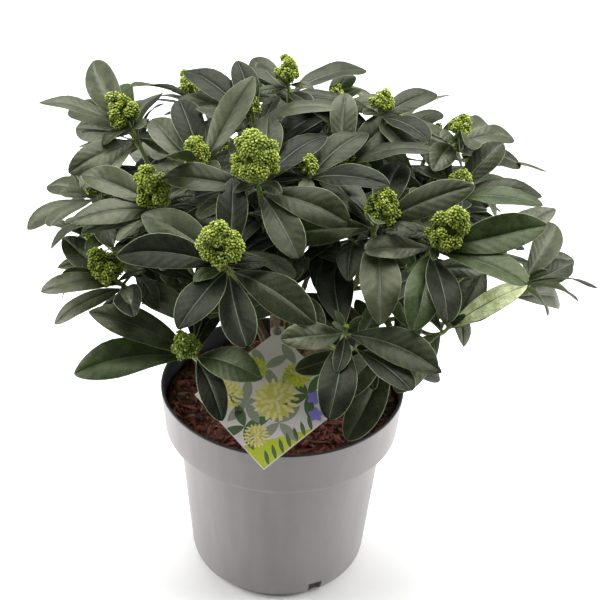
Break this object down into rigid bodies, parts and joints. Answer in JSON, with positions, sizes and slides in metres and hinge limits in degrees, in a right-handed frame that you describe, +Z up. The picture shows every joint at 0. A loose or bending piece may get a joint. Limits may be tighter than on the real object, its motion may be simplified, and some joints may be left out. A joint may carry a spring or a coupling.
{
  "type": "potted skimmia shrub",
  "caption": "Rounded evergreen shrub with whorls of leathery leaves and domed bud clusters, in a tapered round nursery pot with a collar, soil and a square hang label.",
  "frame": {"origin": "centre of the pot's flat underside", "axes": "+Z up out of the pot, -Y towards the front of the plant, +X to its right as seen from the front"},
  "size_m": [0.4641, 0.4119, 0.4606],
  "materials": {
    "pot": "light grey, matte",
    "soil": "dark red-brown bark chips and fibre",
    "bark": "smooth young bark",
    "foliage": "leathery leaves with a soft sheen",
    "label": "printed card, satin"
  },
  "bodies": {
    "root": {"pot": "pot", "soil": "soil", "label": "label", "trunk": "bark", "bough_left_top": "bark", "bough_left": "bark", "bough_front_left": "bark", "bough_front": "bark", "bough_centre": "bark", "bough_top_back": "bark", "bough_right_back": "bark", "bough_right_top": "bark", "bough_front_right": "bark", "bough_right_low": "bark", "bough_front_low": "bark", "bough_back_left": "bark", "bough_back": "bark", "bough_back_right": "bark", "foliage_left_top": "foliage", "foliage_left": "foliage", "foliage_front_left": "foliage", "foliage_front": "foliage", "foliage_centre": "foliage", "foliage_top_back": "foliage", "foliage_right_back": "foliage", "foliage_right_top": "foliage", "foliage_front_right": "foliage", "foliage_right_low": "foliage", "foliage_front_low": "foliage", "foliage_back_left": "foliage", "foliage_back": "foliage", "foliage_back_right": "foliage"}
  },
  "joints": []
}
